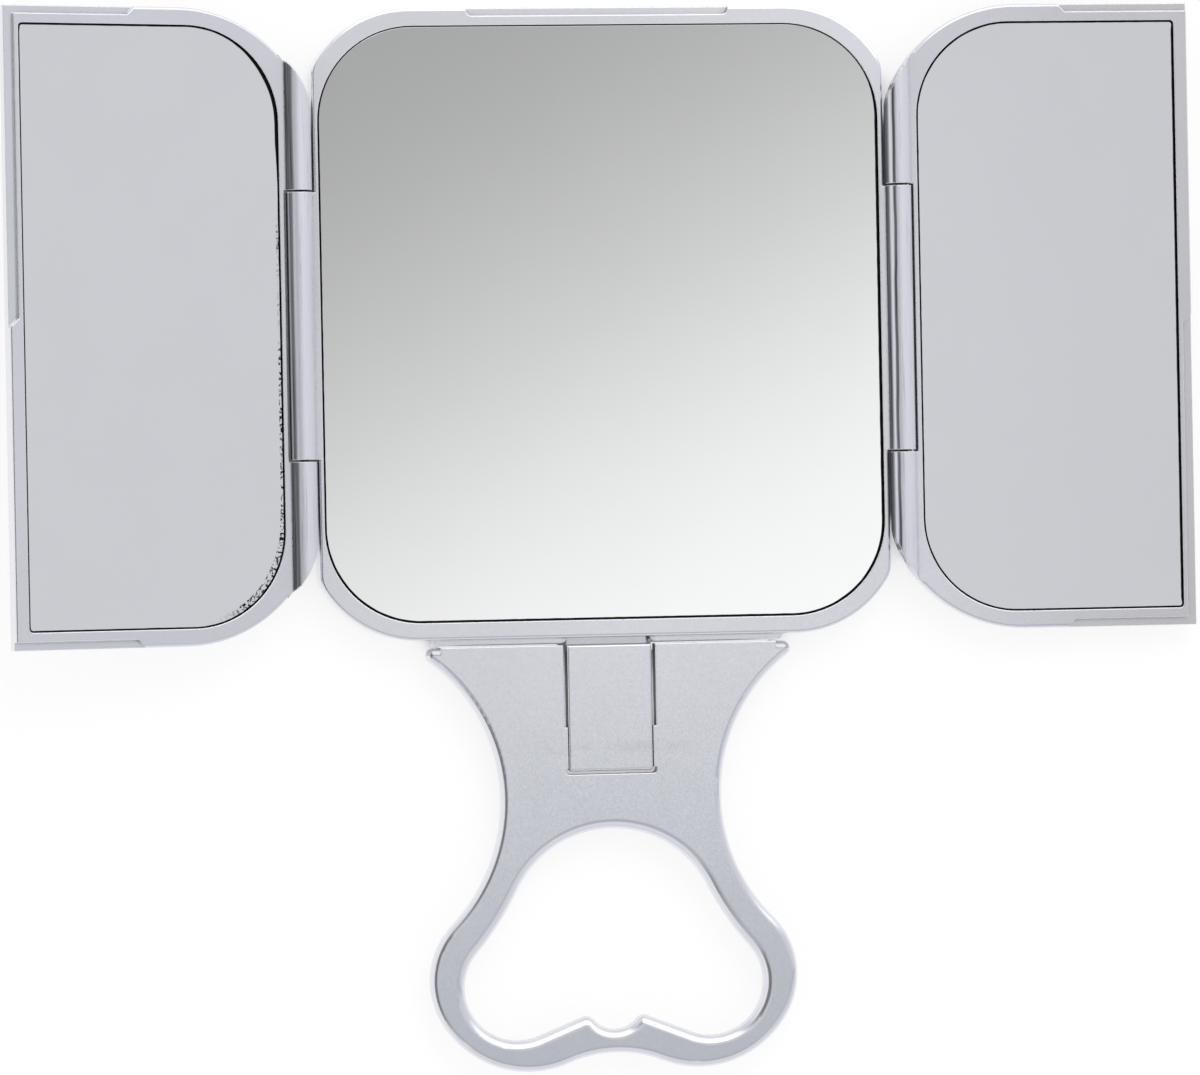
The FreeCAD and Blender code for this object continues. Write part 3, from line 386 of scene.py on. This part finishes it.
def lineWidth(tree, name, x, y):
    glass = mirrorGlass
    low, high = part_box(f"{name}_mirror_glass")
    middle = (low.x + high.x) / 2
    across = (middle - glass["blend"], middle + glass["blend"])
    width = {side: value * mm for side, value in glass["line"][name].items()}
    made = smooth(tree, x, *across, width["left"], width["right"])
    reach = smooth(tree, x, *across, *glass["reach"][name])
    for side, edge in (("top", high.y), ("bottom", low.y)):
        fromEdge = calc(tree, "ABSOLUTE", calc(tree, "SUBTRACT", y, edge))
        near = smooth(tree, calc(tree, "DIVIDE", fromEdge, reach), 1.0, 0.33)
        made = mixValue(tree, near, made, width[side])
    swell = glass["swell"]
    if name == swell["on"]:
        inner = smooth(tree, x, middle, middle + swell["x"])
        corner = calc(tree, "MULTIPLY", span(tree, y, *swell["y"]), inner)
        made = calc(tree, "MULTIPLY_ADD", corner, swell["by"], made)
    return made


def inwards(tree, fromSide, fromEnd, corner):
    # How far in from the rim a point is, along a rim with a rounded corner.
    short = calc(tree, "MAXIMUM", calc(tree, "SUBTRACT", corner, fromSide), 0.0)
    low = calc(tree, "MAXIMUM", calc(tree, "SUBTRACT", corner, fromEnd), 0.0)
    square = calc(tree, "MULTIPLY_ADD", short, short, calc(tree, "MULTIPLY", low, low))
    return calc(tree, "SUBTRACT", corner, calc(tree, "SQRT", square))


def insetsFromRim(tree, name, position, x, y):
    # The first is from the hinge side, the second from whichever side is nearest.
    glass = mirrorGlass
    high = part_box(f"{name}_mirror_glass")[1]
    fromEnd = calc(tree, "SUBTRACT", high.y, calc(tree, "ABSOLUTE", y))
    if name == "centre":
        fromSide = calc(tree, "SUBTRACT", high.x, calc(tree, "ABSOLUTE", x))
        inset = inwards(tree, fromSide, fromEnd, glass["corner"])
        return inset, inset
    # Along the wing's own face, from the hinge axis outwards.
    lean = hinge["lean"] if name == "left" else 0.0
    sign = -1 if name == "left" else 1
    out = Vector((sign * math.cos(lean), 0, math.sin(lean)))
    start = Vector((sign * hinge["x"], 0, hinge["z"])).dot(out)
    fromAxis = calc(tree, "SUBTRACT", dot(tree, position, out), start)
    fromSide = calc(tree, "SUBTRACT", fromAxis, glass["fromAxis"][0])
    fromFree = calc(tree, "SUBTRACT", glass["fromAxis"][1], fromAxis)
    atHinge = inwards(tree, fromSide, fromEnd, glass["corner"])
    atFree = inwards(tree, fromFree, fromEnd, glass["freeCorner"])
    return atHinge, calc(tree, "MINIMUM", atHinge, atFree)


def silverCreep(tree, position, x, y, atHinge):
    creep = mirrorGlass["creep"]
    stain = smooth(tree, noise(tree, position, creep["stain"], 3.0, 0.6), 0.47, 0.56)
    deep = smooth(tree, y, *creep["deepens"], *creep["depth"])
    band = smooth(tree, calc(tree, "SUBTRACT", atHinge, deep), 0.0, -creep["fade"])
    stretch = smooth(tree, y, *creep["ends"])
    stretch = calc(tree, "MULTIPLY", stretch, smooth(tree, x, *creep["x"]))
    patchy = smooth(tree, noise(tree, position, creep["patch"], 2.0), 0.3, 0.5)
    stain = calc(tree, "MULTIPLY", calc(tree, "MULTIPLY", stain, band), stretch)
    return calc(tree, "MULTIPLY", stain, patchy)


def makeMirror(name):
    glass = mirrorGlass
    material, tree = newTree(f"silveredGlass_{name}")
    position, x, y = pointOnPiece(tree)
    atHinge, inset = insetsFromRim(tree, name, position, x, y)
    wander = glass["wander"]
    stray = noise(tree, position, wander["size"], 2.0)
    stray = calc(tree, "MULTIPLY_ADD", stray, 2 * wander["by"], -wander["by"])
    width = calc(tree, "ADD", lineWidth(tree, name, x, y), stray)
    beyond = calc(tree, "SUBTRACT", inset, width)
    # Black along each rim, partly painted shade of the seam; black also where the silver has gone.
    bareAndShaded = smooth(tree, beyond, glass["blur"], -glass["blur"])
    if name == glass["creep"]["on"]:
        bareAndShaded = calc(tree, "MAXIMUM", bareAndShaded, silverCreep(tree, position, x, y, atHinge))
    speck = glass["speck"]
    specks = spots(tree, position, speck["size"], speck["radius"], speck["share"])
    bareAndShaded = calc(tree, "MAXIMUM", bareAndShaded, calc(tree, "MULTIPLY", specks, speck["depth"]))
    haze = noise(tree, position, glass["haze"]["size"], 3.0, 0.6)
    shade = smooth(tree, haze, 0.3, 0.8, 1.0, glass["haze"]["shade"])
    silver = scaleVector(tree, glass["color"], shade)
    rough = smooth(tree, haze, 0.45, 0.8, *glass["haze"]["roughness"])
    surface(tree, {
        "Base Color": mixColor(tree, bareAndShaded, silver, glass["bareAndShaded"]),
        "Metallic": 1.0,
        "Roughness": calc(tree, "MULTIPLY_ADD", bareAndShaded, glass["bareAndShadedRoughness"], rough),
    })
    return material


groundEdge = {
    "dark": (gray(0.008), gray(0.05, (0.9, 1.0, 0.97))),
    "light": gray(0.7),  # where the black line beside it is narrow
    "narrow": (0.18 * mm, 0.04 * mm),
    "grain": 0.4 * mm,
    "roughness": 0.4,
}


def makeGlassEdge(name):
    edge = groundEdge
    material, tree = newTree(f"groundGlassEdge_{name}")
    position, x, y = pointOnPiece(tree)
    dark = mixColor(tree, noise(tree, position, edge["grain"], 2.0), *edge["dark"])
    light = smooth(tree, lineWidth(tree, name, x, y), *edge["narrow"])
    color = mixColor(tree, light, dark, edge["light"])
    surface(tree, {"Base Color": color, "Roughness": edge["roughness"]})
    return material


foam = {"colors": (gray(0.72), gray(0.86)), "grain": 0.5 * mm, "depth": 0.1 * mm, "roughness": 0.85}


def makeFoamTape():
    material, tree = newTree("foamTape")
    position = pointOnPiece(tree)[0]
    grain = noise(tree, position, foam["grain"], 4.0)
    color = mixColor(tree, grain, *foam["colors"])
    bump = {"Height": grain, "Strength": 0.5, "Distance": foam["depth"]}
    bump = add(tree, "ShaderNodeBump", bump).outputs[0]
    surface(tree, {"Base Color": color, "Roughness": foam["roughness"], "Normal": bump})
    return material


steel = {"color": gray(0.62), "gapShade": gray(0.015), "streak": 0.6 * mm, "roughness": (0.22, 0.36)}


def makeSteel():
    material, tree = newTree("drawnSteel")
    position = pointOnPiece(tree)[0]
    streak = noise(tree, position, steel["streak"], 3.0)
    rough = smooth(tree, streak, 0.3, 0.7, *steel["roughness"])
    # Painted shade in the narrow gaps around the pin.
    gapShade = smooth(tree, openness(tree, silverPaint["gapShade"]["reach"]), 0.6, 0.25)
    color = mixColor(tree, gapShade, steel["color"], steel["gapShade"])
    surface(tree, {"Base Color": color, "Metallic": 1.0, "Roughness": rough})
    return material


mirrors = {name: makeMirror(name) for name in ("centre", *sides)}
finishes = {
    "silver_plastic": makeSilverPaint(),
    "mirror": mirrors["centre"],
    "foam_tape": makeFoamTape(),
    "steel_pin": makeSteel(),
}
glassEdges = {name: makeGlassEdge(name) for name in mirrors}
slotOf = {part["node"]: part["material_slot"] for part in frame["record"]["subparts"]}
for name, part in nodes.items():
    part.data.materials.clear()
    part.data.materials.append(finishes[slotOf[name]])
print("finishes on", len(nodes), "nodes")


def makePane(name, body):
    node = f"{name}_mirror_glass"
    mesh = nodes[node].data.copy()
    mesh.name = f"{name}Mirror"
    shape = bmesh.new()
    shape.from_mesh(mesh)
    bmesh.ops.remove_doubles(shape, verts=shape.verts, dist=0.001 * mm)
    bmesh.ops.dissolve_limit(
        shape, angle_limit=math.radians(0.5), verts=shape.verts, edges=shape.edges,
    )
    faces = sorted(shape.faces, key=lambda f: f.calc_area())
    front = max(faces[-2:], key=lambda f: f.normal.z)
    outward = front.normal.copy()
    bmesh.ops.bevel(
        shape, geom=list(front.edges), offset=mirrorGlass["seam"], offset_type="OFFSET", segments=2,
        profile=0.5, affect="EDGES", material=-1,
    )
    for face in shape.faces:
        face.material_index = 0 if face.normal.dot(outward) > 0.999 else 1
        face.smooth = False
    shape.to_mesh(mesh)
    shape.free()
    mesh.materials.clear()
    mesh.materials.append(mirrors[name])
    mesh.materials.append(glassEdges[name])
    pane = bpy.data.objects.new(f"{name}Mirror", mesh)
    scene.collection.objects.link(pane)
    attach(pane, body)
    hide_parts(node)


makePane("centre", "centre")
for side in sides:
    makePane(side, f"{side}_wing")
print("mirrors made")


table = {
    "drop": 0.02 * mm,
    "size": 8.0,
    "color": gray(0.28),
    "glow": 0.74,  # in the open, so that it comes out white
    "gap": 9 * mm,  # openings narrower than about this go dark
    "gapGlow": 0.02,
    "slitPast": 0.5 * mm,  # the slit stays bright, and this much under its edges
    "underHinge": {"x": (69.7 * mm, 77.2 * mm, 0.2 * mm, 0.2 * mm), "y": (52 * mm, 47 * mm)},
    "clear": 0.4 * mm,  # kept under what swings below the frame
}


def tableGlow(tree):
    sky = openness(tree, table["gap"], 8)
    lit = smooth(tree, sky, 0.16, 0.40, table["gapGlow"], 1.0)
    x, y = pointOnPiece(tree)[1:]
    sideways = calc(tree, "ABSOLUTE", x)
    half = (slit["top"] - slit["bottom"]) / 2 + table["slitPast"]
    inSlit = calc(tree, "COMPARE", y, (slit["top"] + slit["bottom"]) / 2, half)
    centre, reach = (slit["to"] + slit["from"]) / 2, (slit["to"] - slit["from"]) / 2
    inSlit = calc(tree, "MULTIPLY", inSlit, calc(tree, "COMPARE", sideways, centre, reach))
    lit = calc(tree, "MAXIMUM", lit, inSlit)
    # Dark close under the hinges, where their pins and knuckles shade it.
    hinges = table["underHinge"]
    shaded = span(tree, sideways, *hinges["x"])
    shaded = calc(tree, "MULTIPLY", shaded, smooth(tree, calc(tree, "ABSOLUTE", y), *hinges["y"]))
    shaded = calc(tree, "MULTIPLY", shaded, smooth(tree, sky, 0.85, 0.6))
    lit = calc(tree, "MULTIPLY", lit, calc(tree, "SUBTRACT", 1.0, shaded))
    return calc(tree, "MULTIPLY", lit, table["glow"])


def makeTable():
    material, tree = newTree("paleTable")
    diffuse = add(tree, "ShaderNodeBsdfDiffuse", {"Color": table["color"]})
    glow = add(tree, "ShaderNodeEmission", {"Color": gray(1.0), "Strength": tableGlow(tree)})
    both = add(tree, "ShaderNodeAddShader", {0: diffuse.outputs[0], 1: glow.outputs[0]})
    add(tree, "ShaderNodeOutputMaterial", {"Surface": both.outputs[0]})
    mesh = bpy.data.meshes.new("table")
    shape = bmesh.new()
    bmesh.ops.create_grid(shape, x_segments=1, y_segments=1, size=table["size"] / 2)
    shape.to_mesh(mesh)
    shape.free()
    mesh.materials.append(material)
    made = bpy.data.objects.new("table", mesh)
    scene.collection.objects.link(made)
    made.location.z = -table["drop"]
    return made


tableTop = makeTable()


def keepUnder(body, point):
    probe = bpy.data.objects.new(f"under_{body}", None)
    scene.collection.objects.link(probe)
    probe.location = point
    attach(probe, body)
    stop = tableTop.constraints.new("FLOOR")
    stop.target = probe
    stop.floor_location = "FLOOR_NEGATIVE_Z"
    stop.offset = table["clear"]


handleLow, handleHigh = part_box("handle")
for y in (handleLow.y, handleHigh.y):
    for z in (handleLow.z, handleHigh.z):
        keepUnder("handle", (0, y, z))
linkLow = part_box("hinge_link")[0]
keepUnder("link", (0, linkLow.y, linkLow.z))
print("table ready")

# What gloss sees of the room: on each side, a compass direction with the angles over which it
# fades out, and brightness at steps of height (the sine of the elevation) up to straight above.
room = {
    "tint": (1.0, 1.01, 1.06),
    "matt": gray(0.9),  # what lights everything but gloss
    "backdrop": gray(1.0),
    "all": ((0.0, 0.8), (0.3, 0.69), (0.5, 0.6), (0.8, 0.6), (0.95, 0.64), (0.985, 0.672)),
    "sides": {
        "east": {
            "toward": 90, "full": 30, "gone": 60,
            "levels": (
                (0.0, 0.8), (0.3, 0.74), (0.6, 0.7), (0.76, 0.66), (0.9, 0.66), (0.973, 0.642),
                (0.983, 0.668), (1.0, 0.672),
            ),
        },
        "south": {
            "toward": 180, "full": 35, "gone": 65,
            "levels": (
                (0.0, 0.76), (0.5, 0.8), (0.78, 0.8), (0.87, 0.42), (0.97, 0.4), (0.992, 0.672),
            ),
        },
        "west": {
            "toward": -90, "full": 25, "gone": 62,
            "levels": (
                (0.0, 0.95), (0.58, 0.95), (0.72, 0.06), (0.76, 0.03), (0.965, 0.03), (0.992, 0.45),
                (1.0, 0.672),
            ),
        },
        "north": {
            "toward": 20, "full": 34, "gone": 50,
            "levels": (
                (0.0, 0.95), (0.35, 1.0), (0.5, 1.6), (0.945, 1.6), (0.975, 0.6), (0.99, 0.672),
            ),
        },
    },
}

# A sloping card high up gives the centre mirror its fall-off from white to gray. Low in the
# south the same card is bluer and darker, which shades the loop. A place on it is how far east
# or north it lies for each metre up.
card = {
    "east": (0.06, 0.1845, 0.03, 0.003),
    "north": (-0.02, 0.1, 0.025, 0.03),
    "slope": 0.5,
    "darkToLight": (-0.045, 0.107),
    "levels": (0.43, 0.7, 1.05),
    "low": {
        "color": (0.415, 0.455, 0.48, 1.0),
        "east": (-0.1, 0.0),
        "north": (-0.15, -0.078, 0.15, 0.033),
    },
}


def roomRamp(tree, height, levels):
    node = add(tree, "ShaderNodeValToRGB", {0: height})
    node.color_ramp.interpolation = "EASE"
    stops = node.color_ramp.elements
    for stop, (at, level) in zip(stops, (levels[0], levels[-1])):
        stop.position, stop.color = at, gray(level, room["tint"])
    for at, level in levels[1:-1]:
        stops.new(at).color = gray(level, room["tint"])
    return node.outputs[0]


def hangCard(tree, light, dx, dy, dz):
    up = calc(tree, "MAXIMUM", dz, 0.05)
    east = calc(tree, "DIVIDE", dx, up)
    north = calc(tree, "DIVIDE", dy, up)
    slant = calc(tree, "SUBTRACT", calc(tree, "MULTIPLY", east, card["slope"]), north)
    shade = add(tree, "ShaderNodeValToRGB", {0: smooth(tree, slant, *card["darkToLight"])})
    low, middle, high = card["levels"]
    shade.color_ramp.elements[0].color = gray(low)
    shade.color_ramp.elements[1].color = gray(high)
    shade.color_ramp.elements.new(0.5).color = gray(middle)
    inside = span(tree, east, *card["east"])
    inside = calc(tree, "MULTIPLY", inside, span(tree, north, *card["north"]))
    light = mixColor(tree, inside, light, shade.outputs[0])
    lower = span(tree, north, *card["low"]["north"])
    lower = calc(tree, "MULTIPLY", lower, smooth(tree, east, *card["low"]["east"]))
    return mixColor(tree, lower, light, card["low"]["color"])


def makeRoom():
    world = bpy.data.worlds.new("studio")
    scene.world = world
    tree = newTree("studio", world)[1]
    seen = add(tree, "ShaderNodeTexCoord").outputs["Generated"]
    dx, dy, dz = add(tree, "ShaderNodeSeparateXYZ", {0: seen}).outputs
    level = vectorCalc(tree, "NORMALIZE", vectorCalc(tree, "MULTIPLY", seen, (1.0, 1.0, 0.0)))
    light = roomRamp(tree, dz, room["all"])
    for side in room["sides"].values():
        azimuth = math.radians(side["toward"])
        facing = dot(tree, level, (math.sin(azimuth), math.cos(azimuth), 0.0))
        gone, full = (math.cos(math.radians(side[key])) for key in ("gone", "full"))
        own = roomRamp(tree, dz, side["levels"])
        light = mixColor(tree, smooth(tree, facing, gone, full), light, own)
    light = hangCard(tree, light, dx, dy, dz)
    path = add(tree, "ShaderNodeLightPath").outputs
    glossy = calc(tree, "MAXIMUM", path["Is Glossy Ray"], path["Is Transmission Ray"])
    light = mixColor(tree, glossy, room["matt"], light)
    light = mixColor(tree, path["Is Camera Ray"], light, room["backdrop"])
    background = add(tree, "ShaderNodeBackground", {"Color": light, "Strength": 1.0})
    add(tree, "ShaderNodeOutputWorld", {"Surface": background.outputs[0]})


makeRoom()

keyLamp = {"watts": 3.0, "size": 0.8, "from": Vector((0.25, 0.9, 1.2))}


def makeLamp():
    lamp = bpy.data.lights.new("key", "AREA")
    lamp.energy = keyLamp["watts"]
    lamp.size = keyLamp["size"]
    made = bpy.data.objects.new("key", lamp)
    scene.collection.objects.link(made)
    made.location = keyLamp["from"]
    made.rotation_mode = "QUATERNION"
    made.rotation_quaternion = (-keyLamp["from"]).to_track_quat("-Z", "Y")
    made.visible_glossy = False


makeLamp()

# The turn is in degrees, the focal length in pixels of a picture this wide.
shot = {
    "turn": (0.152, 7.506, 1.11),
    "aim": Vector((-1.72, -52.24, 9.6)) * mm,
    "distance": 1.4,
    "focal": 5775.8,
    "width": 1200,
    "sensor": 36,
    "clip": (0.01, 20),
}


def makeCamera():
    camera = bpy.data.cameras.new("camera")
    camera.sensor_width = shot["sensor"]
    camera.lens = shot["focal"] / shot["width"] * shot["sensor"]
    camera.clip_start, camera.clip_end = shot["clip"]
    made = bpy.data.objects.new("camera", camera)
    scene.collection.objects.link(made)
    turn = Euler([math.radians(a) for a in shot["turn"]], "XYZ").to_matrix().transposed()
    place = shot["aim"] + turn @ Vector((0, 0, shot["distance"]))
    made.matrix_world = Matrix.Translation(place) @ turn.to_4x4()
    scene.camera = made


makeCamera()
scene.view_settings.view_transform = "Standard"
print("studio ready")

bpy.context.view_layer.update()
